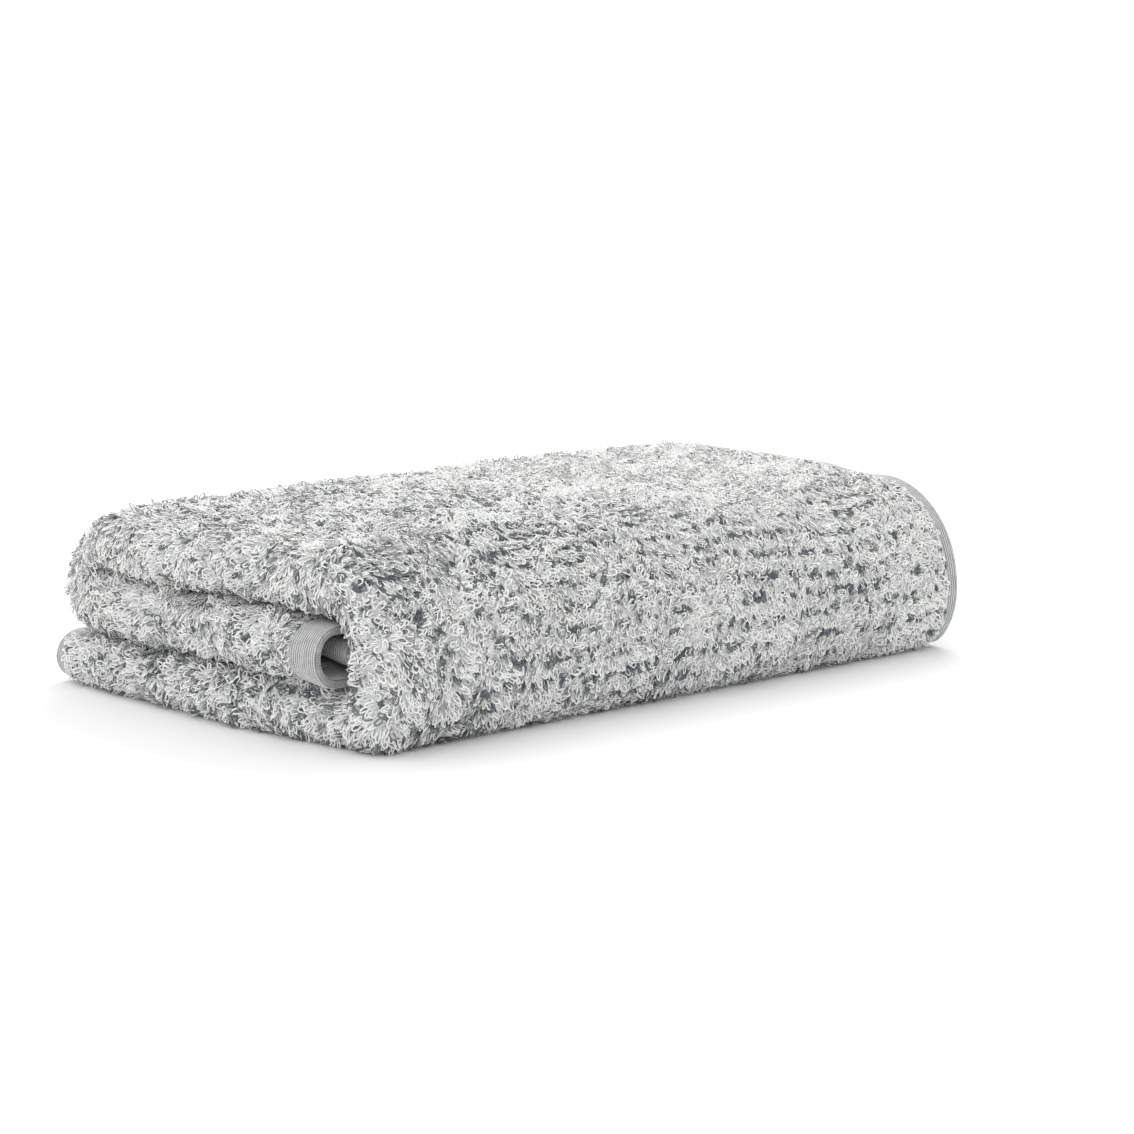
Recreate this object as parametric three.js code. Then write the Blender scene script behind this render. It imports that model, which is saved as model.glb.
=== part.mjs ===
// Hand towel folded in four along its length, then wound in three, lying on its flat underside.
// Millimetres: X along the folds, Y from front to back, Z up from the surface it lies on.
import * as THREE from "three";

// Cloth
const CLOTH = 4.6; // thickness of the pile cloth over its loops
const PLY = 5.3; // from one layer of the folded strip to the next
const STRIP = 3 * PLY + CLOTH; // thickness of the strip of four layers
const RIM = 1.4; // how far in from its edge the pile reaches its full height
const RIM_SHARE = 0.62; // thickness at the very edge, as a share of the full one

// Binding tape
const TAPE = 2.4; // thickness of the tape folded over the bare edge
const TAPE_INNER = 13; // width that shows at the inner end of the winding
const TAPE_OUTER = 5.5; // width that shows at the outer end of the winding
const TAPE_SHORT = 5.5; // width that shows on the two short edges
const SEAM = 0.3; // clearance between tape and pile

// Folded strip, seen along the winding
const LEFT = -136.5; // outside of the left folds
const RIGHT = 136.5; // bound edge of the outermost layer
const BACKSET = 2; // how far the inner short edge stops short of the outer one
const FIRST_BACKSET = 3.5; // the same for the first fold
const NEST = 7; // how far the inner left fold stops short of the outer one
const DRAWN_IN = 7; // how far the left folds are pulled in where they pass round the front
const DRAWN_ACROSS = 90; // how far in from the left that pull is felt
const DRAWN_FULL = 20; // how far along the winding it stays whole, each way from the front
const DRAWN_NONE = 80; // where along the winding it has faded out

// Winding, seen along the folds
const FRONT = -85.5; // foremost point of the big front fold
const BACK_FOLD = 80.5; // rearmost point of the fold between top and middle band
const BACK_END = 85.5; // bound outer end of the bottom band
const INNER_END = -60.5; // bound inner end of the middle band
const BOTTOM = { front: 19.8, back: 17.8 }; // top of the bottom band
const MIDDLE = { low: 20.4, lowBack: 18.8, high: 41.6 }; // underside and top of the middle band
const TOP = { low: 42.4, high: 63 }; // underside and top of the top band
const NOSE = 23; // height of the foremost point
const BELLY = 29; // height of the rearmost point of the back fold
const FRONT_LOW = 14; // reach of the front fold's outside, below its foremost point
const FRONT_HIGH = 38; // the same above it
const HOLLOW_LOW = 3; // corner radius of the front fold's inside, below
const HOLLOW_HIGH = 9; // the same above
const BACK_HIGH = 28; // reach of the back fold's outside, above its rearmost point
const BACK_LOW = 15; // the same below it
const SLACK = 1.4; // how much lower the top lies at the right, where fewer folds fill it
const SLACK_FROM = 20; // X from which it starts to fall

// Lines and points that follow from these
const FOLD_X = LEFT + 1.5 * PLY + CLOTH / 2;
const INNER_X = FOLD_X + NEST;
const FIRST_X = RIGHT - FIRST_BACKSET - (PLY + CLOTH) / 2;
const CREASE = (TOP.low - MIDDLE.high) / 2;
const CREASE_Y = BACK_FOLD - STRIP;
const INSIDE = FRONT + STRIP;
const HALF = Math.PI / 2;
const ease = THREE.MathUtils.smoothstep;

// A straight stretch of the layer, with the direction that its face side looks in.
function run(part, from, to, steps) {
  const length = Math.hypot(to[0] - from[0], to[1] - from[1]);
  const face = [(to[1] - from[1]) / length, (from[0] - to[0]) / length];
  const at = (f) => ({
    x: from[0] + (to[0] - from[0]) * f,
    n: from[1] + (to[1] - from[1]) * f,
    face,
  });
  return { part, length, steps, at };
}

// A fold of the layer round the point (x, n); a positive sweep keeps the face side outside.
function halfTurn(part, x, n, radius, start, sweep, steps) {
  const at = (f) => {
    const angle = start + sweep * f;
    const side = Math.sign(sweep);
    return {
      x: x + radius * Math.cos(angle),
      n: n + radius * Math.sin(angle),
      face: [side * Math.cos(angle), side * Math.sin(angle)],
    };
  };
  return { part, length: Math.PI * radius, steps, at };
}

// One layer of cloth followed across the strip; n is how far out it lies from the strip's middle.
const LAYER = [
  run("outermost layer", [RIGHT, 1.5 * PLY], [FOLD_X, 1.5 * PLY], 8),
  halfTurn("outer left fold", FOLD_X, 0, 1.5 * PLY, HALF, Math.PI, 8),
  run("innermost layer", [FOLD_X, -1.5 * PLY], [FIRST_X, -1.5 * PLY], 8),
  halfTurn("first fold", FIRST_X, -PLY, PLY / 2, -HALF, Math.PI, 6),
  run("third layer", [FIRST_X, -PLY / 2], [INNER_X, -PLY / 2], 8),
  halfTurn("inner left fold", INNER_X, 0, PLY / 2, 3 * HALF, -Math.PI, 6),
  run("second layer", [INNER_X, PLY / 2], [RIGHT - BACKSET, PLY / 2], 8),
];

// A quarter ellipse round (y, z), its angle counted from straight below by way of the front.
function corner(y, z, reach, rise) {
  return (angle) => ({ y: y - reach * Math.sin(angle), z: z - rise * Math.cos(angle) });
}

// A quarter turn of the whole strip: its outer and inner face go round at the same angles.
function quarter(part, number, outer, inner, steps) {
  const at = (f) => {
    const angle = (number + f) * HALF;
    return { outer: outer(angle), inner: inner(angle) };
  };
  return { part, steps, at };
}

// The strip's outer and inner face followed from its outer end to its inner end.
const backInner = corner(CREASE_Y, MIDDLE.high + CREASE, CREASE, CREASE);
const CORNERS = [
  quarter(
    "front fold, lower quarter",
    0,
    corner(FRONT + FRONT_LOW, NOSE, FRONT_LOW, NOSE),
    corner(INSIDE + HOLLOW_LOW, BOTTOM.front + HOLLOW_LOW, HOLLOW_LOW, HOLLOW_LOW),
    7,
  ),
  quarter(
    "front fold, upper quarter",
    1,
    corner(FRONT + FRONT_HIGH, NOSE, FRONT_HIGH, TOP.high - NOSE),
    corner(INSIDE + HOLLOW_HIGH, TOP.low - HOLLOW_HIGH, HOLLOW_HIGH, HOLLOW_HIGH),
    9,
  ),
  quarter(
    "back fold, upper quarter",
    2,
    corner(BACK_FOLD - BACK_HIGH, BELLY, BACK_HIGH, TOP.high - BELLY),
    backInner,
    8,
  ),
  quarter(
    "back fold, lower quarter",
    3,
    corner(BACK_FOLD - BACK_LOW, BELLY, BACK_LOW, BELLY - MIDDLE.lowBack),
    backInner,
    7,
  ),
];

function between(a, b, f) {
  return { y: a.y + (b.y - a.y) * f, z: a.z + (b.z - a.z) * f };
}

// A straight stretch of the whole strip.
function band(part, from, to, steps) {
  const at = (f) => ({
    outer: between(from.outer, to.outer, f),
    inner: between(from.inner, to.inner, f),
  });
  return { part, steps, at };
}

// Adds the length, measured along the middle of the strip.
const MEASURED_IN = 20;
function withLength(piece) {
  const middle = (f) => {
    const { outer, inner } = piece.at(f);
    return between(outer, inner, 0.5);
  };
  let length = 0;
  for (let i = 0; i < MEASURED_IN; i += 1) {
    const a = middle(i / MEASURED_IN);
    const b = middle((i + 1) / MEASURED_IN);
    length += Math.hypot(b.y - a.y, b.z - a.z);
  }
  return { ...piece, length };
}

const START = { outer: { y: BACK_END, z: 0 }, inner: { y: BACK_END, z: BOTTOM.back } };
const END = {
  outer: { y: INNER_END, z: MIDDLE.low },
  inner: { y: INNER_END, z: MIDDLE.high },
};
const WINDING = [
  band("bottom band", START, CORNERS[0].at(0), 7),
  CORNERS[0],
  band("front fold, upright", CORNERS[0].at(1), CORNERS[1].at(0), 1),
  CORNERS[1],
  band("top band", CORNERS[1].at(1), CORNERS[2].at(0), 5),
  CORNERS[2],
  CORNERS[3],
  band("middle band", CORNERS[3].at(1), END, 6),
].map(withLength);

function total(pieces) {
  return pieces.reduce((sum, piece) => sum + piece.length, 0);
}

// What lies at a distance along a list of pieces.
function lookUp(pieces, distance) {
  let left = distance;
  for (const piece of pieces) {
    if (left <= piece.length + 1e-6) return piece.at(Math.min(1, left / piece.length));
    left -= piece.length;
  }
  return pieces.at(-1).at(1);
}

// Where a path is sampled: both ends, any extra distances, and the steps of each piece not too near those.
const CLOSEST = 0.8;
function stops(pieces, from, to, extra) {
  const found = [from, to, ...extra];
  let start = 0;
  for (const piece of pieces) {
    for (let i = 0; i < piece.steps; i += 1) {
      const d = start + (piece.length * i) / piece.steps;
      const apart = found.every((other) => Math.abs(other - d) > CLOSEST);
      if (apart && d > from && d < to) found.push(d);
    }
    start += piece.length;
  }
  return found.sort((a, b) => a - b);
}

// Distance along the winding to the middle of the front fold.
const ROUND_FRONT = total(WINDING.slice(0, 2)) + WINDING[2].length / 2;

// The point of the lying towel at a distance across and along the flat cloth, raised off its middle.
function place(across, along, offset) {
  const here = lookUp(LAYER, across);
  const strip = lookUp(WINDING, along);
  const x = here.x + offset * here.face[0];
  const n = here.n + offset * here.face[1];
  const at = between(strip.inner, strip.outer, 0.5 + n / STRIP);
  const pull = 1 - ease(Math.abs(along - ROUND_FRONT), DRAWN_FULL, DRAWN_NONE);
  const felt = 1 - ease(x, LEFT, LEFT + DRAWN_ACROSS);
  const sunk = SLACK * (at.z / TOP.high) * ease(x, SLACK_FROM, RIGHT);
  return [x + DRAWN_IN * pull * felt, at.y, at.z - sunk];
}

// A sheet of the given thickness between two stops each way; its rim may be thinner.
function sheet(name, material, span, thickness, rim) {
  const extraAcross = rim ? [span.left + RIM, span.right - RIM] : [];
  const extraAlong = rim ? [span.start + RIM, span.end - RIM] : [];
  const across = stops(LAYER, span.left, span.right, extraAcross);
  const along = stops(WINDING, span.start, span.end, extraAlong);
  const positions = [];
  const index = [];
  const cell = (side, i, j) => (side * across.length + i) * along.length + j;
  for (const side of [1, -1]) {
    across.forEach((d, i) => {
      along.forEach((t, j) => {
        const onRim = i === 0 || j === 0 || i === across.length - 1 || j === along.length - 1;
        const half = (thickness / 2) * (rim && onRim ? RIM_SHARE : 1);
        positions.push(...place(d, t, side * half));
      });
    });
  }
  const quad = (a, b, c, d) => index.push(a, c, b, a, d, c);
  for (let i = 0; i + 1 < across.length; i += 1) {
    for (let j = 0; j + 1 < along.length; j += 1) {
      quad(cell(0, i, j), cell(0, i + 1, j), cell(0, i + 1, j + 1), cell(0, i, j + 1));
      quad(cell(1, i, j), cell(1, i, j + 1), cell(1, i + 1, j + 1), cell(1, i + 1, j));
    }
  }
  const lastI = across.length - 1;
  const lastJ = along.length - 1;
  for (let i = 0; i < lastI; i += 1) {
    quad(cell(0, i, 0), cell(1, i, 0), cell(1, i + 1, 0), cell(0, i + 1, 0));
    quad(cell(0, i, lastJ), cell(0, i + 1, lastJ), cell(1, i + 1, lastJ), cell(1, i, lastJ));
  }
  for (let j = 0; j < lastJ; j += 1) {
    quad(cell(0, 0, j), cell(0, 0, j + 1), cell(1, 0, j + 1), cell(1, 0, j));
    quad(cell(0, lastI, j), cell(1, lastI, j), cell(1, lastI, j + 1), cell(0, lastI, j + 1));
  }
  const geometry = new THREE.BufferGeometry();
  geometry.setAttribute("position", new THREE.Float32BufferAttribute(positions, 3));
  geometry.setIndex(index);
  geometry.computeVertexNormals();
  const mesh = new THREE.Mesh(geometry, material);
  mesh.name = name;
  return mesh;
}

const pile = new THREE.MeshStandardMaterial({ color: 0xc9cacb, roughness: 1, metalness: 0 });
const tape = new THREE.MeshStandardMaterial({ color: 0x9a9b9e, roughness: 0.85, metalness: 0 });

// The pile cloth stops where the tape starts, on all four edges.
const ACROSS = total(LAYER);
const ALONG = total(WINDING);
const cloth = {
  left: TAPE_SHORT + SEAM,
  right: ACROSS - TAPE_SHORT - SEAM,
  start: TAPE_OUTER + SEAM,
  end: ALONG - TAPE_INNER - SEAM,
};
const whole = { left: 0, right: ACROSS };
const towel = new THREE.Group();
towel.name = "hand_towel";
towel.add(
  sheet("pile_cloth", pile, cloth, CLOTH, true),
  sheet("binding_outer_end", tape, { ...whole, start: 0, end: TAPE_OUTER }, TAPE, false),
  sheet("binding_inner_end", tape, { ...whole, start: ALONG - TAPE_INNER, end: ALONG }, TAPE, false),
  sheet("binding_short_outer", tape, { ...cloth, left: 0, right: TAPE_SHORT }, TAPE, false),
  sheet("binding_short_inner", tape, { ...cloth, left: ACROSS - TAPE_SHORT, right: ACROSS }, TAPE, false),
);

export default towel;
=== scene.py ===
"""Looks of the folded hand towel: looped terry pile on a ground cloth, bound with ribbed tape.

Lengths are millimetres until a mesh is made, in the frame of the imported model: X along the
folds, Y from front to back, Z up from the surface it lies on. A place on the flat cloth is
given by d, its distance from the short edge of the outermost layer, and t, its distance from
the long edge at the outer end of the winding.
"""

import math

import bpy
import numpy as np
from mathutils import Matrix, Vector


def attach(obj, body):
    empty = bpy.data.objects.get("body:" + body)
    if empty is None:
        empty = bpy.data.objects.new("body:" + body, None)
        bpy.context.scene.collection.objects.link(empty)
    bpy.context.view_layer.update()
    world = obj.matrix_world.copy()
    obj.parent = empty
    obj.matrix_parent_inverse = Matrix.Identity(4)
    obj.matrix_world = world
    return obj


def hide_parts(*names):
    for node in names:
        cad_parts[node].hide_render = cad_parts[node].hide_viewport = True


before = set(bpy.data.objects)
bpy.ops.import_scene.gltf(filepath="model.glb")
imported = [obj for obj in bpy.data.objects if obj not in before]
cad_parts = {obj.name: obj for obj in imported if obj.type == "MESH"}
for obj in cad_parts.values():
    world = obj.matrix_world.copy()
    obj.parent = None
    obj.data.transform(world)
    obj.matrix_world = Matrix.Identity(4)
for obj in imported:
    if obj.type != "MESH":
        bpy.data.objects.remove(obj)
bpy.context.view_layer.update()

# Cloth and tape, the same sizes as in the solids
CLOTH = 4.6  # thickness of the pile cloth over its loops
PLY = 5.3  # from one layer of the folded strip to the next
STRIP = 3 * PLY + CLOTH  # thickness of the strip of four layers
TAPE = 2.4  # thickness of the tape folded over the bare edge
TAPE_INNER = 13.0  # its width at the inner end of the winding
TAPE_OUTER = 5.5  # its width at the outer end
TAPE_SHORT = 5.5  # its width on the two short edges
SEAM = 0.3  # clearance between tape and pile

# Folded strip, seen along the winding
LEFT, RIGHT = -136.5, 136.5  # outside of the left folds, and the outermost short edge
BACKSET, FIRST_BACKSET = 2.0, 3.5  # how far the inner short edge and the first fold stop short
NEST = 7.0  # how far the inner left fold stops short of the outer one
DRAWN_IN = 7.0  # how far the left folds are pulled in where they pass round the front
DRAWN_ACROSS = 90.0  # how far in from the left that pull is felt
DRAWN_FULL, DRAWN_NONE = 20.0, 80.0  # how far from the front it stays whole, and has faded out

# Winding, seen along the folds
FRONT, BACK_FOLD = -85.5, 80.5  # foremost point, and rearmost point of the back fold
BACK_END, INNER_END = 85.5, -60.5  # bound ends of the bottom and of the middle band
BOTTOM_FRONT, BOTTOM_BACK = 19.8, 17.8  # top of the bottom band
MIDDLE_LOW, MIDDLE_LOW_BACK, MIDDLE_HIGH = 20.4, 18.8, 41.6  # underside and top of the middle band
TOP_LOW, TOP_HIGH = 42.4, 63.0  # underside and top of the top band
NOSE, BELLY = 23.0, 29.0  # heights of the foremost point and of the back fold's rearmost one
FRONT_LOW, FRONT_HIGH = 14.0, 38.0  # reach of the front fold's outside below and above its nose
HOLLOW_LOW, HOLLOW_HIGH = 3.0, 9.0  # corner radii of its inside
BACK_HIGH, BACK_LOW = 28.0, 15.0  # reach of the back fold's outside above and below its belly
SLACK, SLACK_FROM = 1.4, 20.0  # how much lower the top lies at the right, and from which X

# Lines and points that follow from these
FOLD_X = LEFT + 1.5 * PLY + CLOTH / 2
INNER_X = FOLD_X + NEST
FIRST_X = RIGHT - FIRST_BACKSET - (PLY + CLOTH) / 2
CREASE = (TOP_LOW - MIDDLE_HIGH) / 2
CREASE_Y = BACK_FOLD - STRIP
INSIDE = FRONT + STRIP
HALF = math.pi / 2


def ease(value, low, high):
    """Smooth step from 0 at low to 1 at high."""
    f = np.clip((value - low) / (high - low), 0, 1)
    return f * f * (3 - 2 * f)


def unit(v):
    return v / np.maximum(np.linalg.norm(v, axis=-1, keepdims=True), 1e-12)


# The layer followed across the strip


def run(start, end):
    """A straight stretch: length and a function to x, n and the face's direction."""
    length = math.hypot(end[0] - start[0], end[1] - start[1])
    face = ((end[1] - start[1]) / length, (start[0] - end[0]) / length)

    def at(f):
        one = np.ones_like(f)
        x = start[0] + (end[0] - start[0]) * f
        return x, start[1] + (end[1] - start[1]) * f, face[0] * one, face[1] * one

    return length, at


def half_turn(x, n, radius, start, sweep):
    """A fold round (x, n); a positive sweep keeps the face side outside."""
    side = math.copysign(1, sweep)

    def at(f):
        c, s = np.cos(start + sweep * f), np.sin(start + sweep * f)
        return x + radius * c, n + radius * s, side * c, side * s

    return math.pi * radius, at


LAYER = [
    run((RIGHT, 1.5 * PLY), (FOLD_X, 1.5 * PLY)),
    half_turn(FOLD_X, 0, 1.5 * PLY, HALF, math.pi),
    run((FOLD_X, -1.5 * PLY), (FIRST_X, -1.5 * PLY)),
    half_turn(FIRST_X, -PLY, PLY / 2, -HALF, math.pi),
    run((FIRST_X, -PLY / 2), (INNER_X, -PLY / 2)),
    half_turn(INNER_X, 0, PLY / 2, 3 * HALF, -math.pi),
    run((INNER_X, PLY / 2), (RIGHT - BACKSET, PLY / 2)),
]
LAYER_FOLDS = (1, 3, 5)


# The strip followed along its winding


def corner(y, z, reach, rise):
    """A quarter ellipse, its angle counted from straight below by way of the front."""
    return lambda a: (y - reach * np.sin(a), z - rise * np.cos(a))


def quarter(number, outer, inner):
    def at(f):
        a = (number + f) * HALF
        return (*outer(a), *inner(a))

    return at


def band(start, end):
    def at(f):
        return tuple(a + (b - a) * f for a, b in zip(start, end))

    return at


back_inner = corner(CREASE_Y, MIDDLE_HIGH + CREASE, CREASE, CREASE)
CORNERS = [
    quarter(
        0,
        corner(FRONT + FRONT_LOW, NOSE, FRONT_LOW, NOSE),
        corner(INSIDE + HOLLOW_LOW, BOTTOM_FRONT + HOLLOW_LOW, HOLLOW_LOW, HOLLOW_LOW),
    ),
    quarter(
        1,
        corner(FRONT + FRONT_HIGH, NOSE, FRONT_HIGH, TOP_HIGH - NOSE),
        corner(INSIDE + HOLLOW_HIGH, TOP_LOW - HOLLOW_HIGH, HOLLOW_HIGH, HOLLOW_HIGH),
    ),
    quarter(2, corner(BACK_FOLD - BACK_HIGH, BELLY, BACK_HIGH, TOP_HIGH - BELLY), back_inner),
    quarter(
        3,
        corner(BACK_FOLD - BACK_LOW, BELLY, BACK_LOW, BELLY - MIDDLE_LOW_BACK),
        back_inner,
    ),
]


def end_of(piece, f):
    return tuple(float(v) for v in piece(np.float64(f)))


WINDING = [
    band((BACK_END, 0.0, BACK_END, BOTTOM_BACK), end_of(CORNERS[0], 0)),
    CORNERS[0],
    band(end_of(CORNERS[0], 1), end_of(CORNERS[1], 0)),
    CORNERS[1],
    band(end_of(CORNERS[1], 1), end_of(CORNERS[2], 0)),
    CORNERS[2],
    CORNERS[3],
    band(end_of(CORNERS[3], 1), (INNER_END, MIDDLE_LOW, INNER_END, MIDDLE_HIGH)),
]
WINDING_FOLDS = (1, 2, 3, 5, 6)


def tabled(pieces, samples):
    """One table of distance and values over pieces given as (length, function)."""
    distance, columns, start = [], [], 0.0
    for length, at in pieces:
        f = np.linspace(0, 1, samples)
        distance.append(start + length * f)
        columns.append(np.stack(at(f)))
        start += length
    return np.concatenate(distance), np.concatenate(columns, axis=1), start


def mid_length(at):
    """Length along the middle of the strip, in the same twenty chords as the solids."""
    oy, oz, iy, iz = at(np.linspace(0, 1, 21))
    return float(np.hypot(np.diff((oy + iy) / 2), np.diff((oz + iz) / 2)).sum())


LAYER_D, LAYER_V, ACROSS = tabled(LAYER, 49)
winding = [(mid_length(at), at) for at in WINDING]
WIND_T, WIND_V, ALONG = tabled(winding, 61)
LAYER_STARTS = np.cumsum([0.0] + [length for length, at in LAYER])
STARTS = np.cumsum([0.0] + [length for length, at in winding])
ROUND_FRONT = STARTS[2] + winding[2][0] / 2

# Where the left fold, the innermost layer and the first fold start
D_FOLD, D_INNERMOST, D_FIRST = LAYER_STARTS[1:4]

# Where the front fold, the top, the back fold and the middle band start
T_FRONT = float(STARTS[1])
T_TOP = float(STARTS[4])
T_BACK = float(STARTS[5])
T_UNDER_BACK = float(STARTS[7])

# Flat cloth between the tapes
CLOTH_D = (TAPE_SHORT + SEAM, ACROSS - TAPE_SHORT - SEAM)
CLOTH_T = (TAPE_OUTER + SEAM, ALONG - TAPE_INNER - SEAM)

# Soft unevenness that the whole heap shares: (size, wave length, direction, phase)
SWELLS = (
    (0.50, 61.0, (0.8, 0.5, 0.33), 0.4),
    (0.45, 43.0, (-0.5, 0.7, 0.5), 2.1),
    (0.40, 37.0, (0.9, -0.3, 0.3), 4.0),
    (0.30, 27.0, (0.2, 0.9, -0.4), 5.2),
    (0.22, 19.0, (0.7, 0.1, 0.7), 1.3),
)
SWELL_HEIGHTS = 0, 16  # none of it on the floor, all of it from here up
SWELL_ACROSS = 1.3  # wave length of the sideways part, as a share of the upward one's

# The back left corner of the top has dropped, and the inner end has nestled down
CORNER_DROP, CORNER_AT, CORNER_REACH = 1.9, (-132, 55), (18, 32)
CORNER_HEIGHTS = 25, 55
END_DROP, END_AT, END_REACH = 2.4, (-128, -60), (34, 17)
END_FROM, END_TO = (3, 18), (42, 54)


def dent(p, middle, reach):
    """1 at the middle of a soft dent seen from above, and 0 far from it."""
    x, y = ((p[..., k] - middle[k]) / reach[k] for k in (0, 1))
    return np.exp(-(x**2) - y**2)


def swell(p):
    """Moves points by the soft unevenness and the two dents."""
    out = p.copy()
    z = p[..., 2]
    lift = ease(z, *SWELL_HEIGHTS)
    for size, length, way, phase in SWELLS:
        way = np.array(way) / np.linalg.norm(way)
        wave = np.sin(2 * math.pi * (p @ way) / length + phase)
        turned = np.cos(2 * math.pi * (p @ way) / (SWELL_ACROSS * length) + 2 * phase)
        out[..., 1] += 0.5 * size * turned * lift
        out[..., 2] += size * wave * lift
        out[..., 0] += 0.4 * size * turned * lift
    dropped = dent(p, CORNER_AT, CORNER_REACH)
    out[..., 2] -= CORNER_DROP * dropped * ease(z, *CORNER_HEIGHTS)
    nestled = dent(p, END_AT, END_REACH)
    out[..., 2] -= END_DROP * nestled * ease(z, *END_FROM) * (1 - ease(z, *END_TO))
    return out


def place(across, along, offset):
    """Points of the lying towel, raised off the middle of its layer, in millimetres."""
    across, along, offset = np.broadcast_arrays(across, along, offset)
    x, n, fx, fn = (np.interp(across, LAYER_D, v) for v in LAYER_V)
    size = np.hypot(fx, fn)
    x = x + offset * fx / size
    n = n + offset * fn / size
    oy, oz, iy, iz = (np.interp(along, WIND_T, v) for v in WIND_V)
    share = 0.5 + n / STRIP
    y = iy + (oy - iy) * share
    z = iz + (oz - iz) * share
    pull = 1 - ease(np.abs(along - ROUND_FRONT), DRAWN_FULL, DRAWN_NONE)
    felt = 1 - ease(x, LEFT, LEFT + DRAWN_ACROSS)
    sunk = SLACK * (z / TOP_HIGH) * ease(x, SLACK_FROM, RIGHT)
    return swell(np.stack([x + DRAWN_IN * pull * felt, y, z - sunk], axis=-1))


def mesh_of(name, points, quads, material, uv=None, colours=None, cells=None):
    """A smooth mesh object of quads, with points given in millimetres.

    uv, colours and cells hold a row for each point: the place along and across the yarn or
    cloth, the numbers that the material reads, and the place in the map for baking.
    """
    mesh = bpy.data.meshes.new(name)
    mesh.vertices.add(len(points))
    mesh.vertices.foreach_set("co", (points * 0.001).astype(np.float32).ravel())
    mesh.loops.add(quads.size)
    mesh.loops.foreach_set("vertex_index", quads.astype(np.int32).ravel())
    mesh.polygons.add(len(quads))
    mesh.polygons.foreach_set("loop_start", np.arange(0, quads.size, 4, dtype=np.int32))
    mesh.polygons.foreach_set("use_smooth", np.ones(len(quads), bool))
    mesh.update(calc_edges=True)
    for map_name, flat in (("thread", uv), ("OFBake", cells)):
        if flat is not None:
            layer = mesh.uv_layers.new(name=map_name)
            layer.data.foreach_set("uv", flat[quads.ravel()].astype(np.float32).ravel())
    if colours is not None:
        layer = mesh.attributes.new("yarn", "FLOAT_COLOR", "POINT")
        layer.data.foreach_set("color", colours.astype(np.float32).ravel())
    mesh.materials.append(material)
    obj = bpy.data.objects.new(name, mesh)
    bpy.context.scene.collection.objects.link(obj)
    return obj


# Stretches of the cloth over which its looks change: on the way to the left, along d
SLATIER = 120, 190  # more slate from here on
STRAYS = 120, 235  # more single slate loops
LOOSENED = 180, 245  # the furrows fade
COMBED = 165, 245  # the loops are combed down
PAINTED_LIGHT_END = 90, 160  # painted light of the far top ends, which makes their slate fewer and paler

# And on the way up the front to the top, along t
PAINTED_LIGHT_START = T_TOP - 25, T_TOP + 15  # the painted light begins
TOP_START = T_TOP - 20, T_TOP + 10  # the whole top has a little less slate
FLAT_START = T_TOP - 12, T_TOP + 18  # the pile isn't combed as much

# Furrows of the pile along the folds, and how they wave
ROW = 4.6  # from one furrow to the next
ROW_WAVES = ((0.16, 0.059, 0.025, 0.0), (0.1, 0.024, -0.043, 2.0))  # (rows, by d, by t, phase)
LOOSE = 0.3  # how strongly the furrows still show on the left


# Materials

WHITE_YARN = (0.88, 0.877, 0.87)
GREY_YARN = (0.48, 0.485, 0.49)
SLATE_YARN = (0.125, 0.14, 0.152)
YARN_TONES = [(0.0, WHITE_YARN), (0.5, GREY_YARN), (1.0, SLATE_YARN)]
# Ground cloth tones: greyer than the yarn between its curls, which is painted shade deep in the
# pile
PALE_GROUND_WITH_PAINTED_SHADE = [(0.1, (0.48, 0.483, 0.488)), (0.5, (0.72, 0.72, 0.715)), (0.85, WHITE_YARN)]
SLATE_GROUND_WITH_PAINTED_SHADE = [(0.1, (0.10, 0.112, 0.122)), (0.85, (0.23, 0.248, 0.262))]
# Grey tape, painted darker in the rib grooves and at the folded edge as painted shade, and lighter
# on the rib tops as painted highlight
TAPE_TONES_WITH_PAINTED_SHADE = [
    (0.15, (0.07, 0.072, 0.076)),
    (0.5, (0.38, 0.382, 0.388)),
    (0.85, (0.67, 0.672, 0.676)),
]
FLOOR_TONES = [(0.3, (0.895, 0.895, 0.898)), (0.7, (0.905, 0.905, 0.905))]
NOISE = 0.3, 0.7  # most values of a noise texture lie between these

# The level at a place of the cloth sums up noise, and turns the yarn slate where it is high
SLATE_LEVELS = 0.79, 0.88  # off-white below the first, slate above the second
RUNS, PATCHES, FURROWS = 0.2, 0.22, 0.105  # how much they count beside the small spots
# More slate on the left, less in the painted light of the far top ends, and less on the whole top
MORE_LEFT, LESS_SLATE_IN_PAINTED_LIGHT, LESS_TOP = 0.035, 0.035, 0.022
SLATE_SHARE_IN_PAINTED_LIGHT = 0.7  # depth of the slate tone in the painted light
LOOP_LEVELS = -0.1, 0.05  # how far the level of a single loop lies off its neighbours'

# Loops that have a tone by themselves, told from the others by their chance
STRAY_FROM = 0.97, 0.92  # slate above this chance, on the right and on the left
STRAY_TONE = 0.9
GREY_EVERY, GREY_FROM, GREY_TONE = 0.11, 0.07, 0.3  # greyish where chance, folded, is high

# Curls drawn on the ground cloth as pale rings round the middle of Voronoi cells, with painted
# shade inside and between them
RING, RING_EDGE = 0.36, (0.05, 0.16)


def node(tree, kind, inputs=None, **settings):
    """A new node; an input is a number or colour to set, or a socket to link."""
    made = tree.nodes.new(kind)
    for name, value in settings.items():
        setattr(made, name, value)
    for name, value in (inputs or {}).items():
        if isinstance(value, bpy.types.NodeSocket):
            tree.links.new(value, made.inputs[name])
        else:
            made.inputs[name].default_value = value
    return made


def new_material(name, colour, roughness):
    """A material with the given flat colour, its node tree and its shader."""
    made = bpy.data.materials.new(name)
    made.use_nodes = True
    made.diffuse_color = (*colour, 1)
    tree = made.node_tree
    shader = tree.nodes["Principled BSDF"]
    shader.inputs["Roughness"].default_value = roughness
    shader.inputs["Specular IOR Level"].default_value = 0.25
    return made, tree, shader


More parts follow.
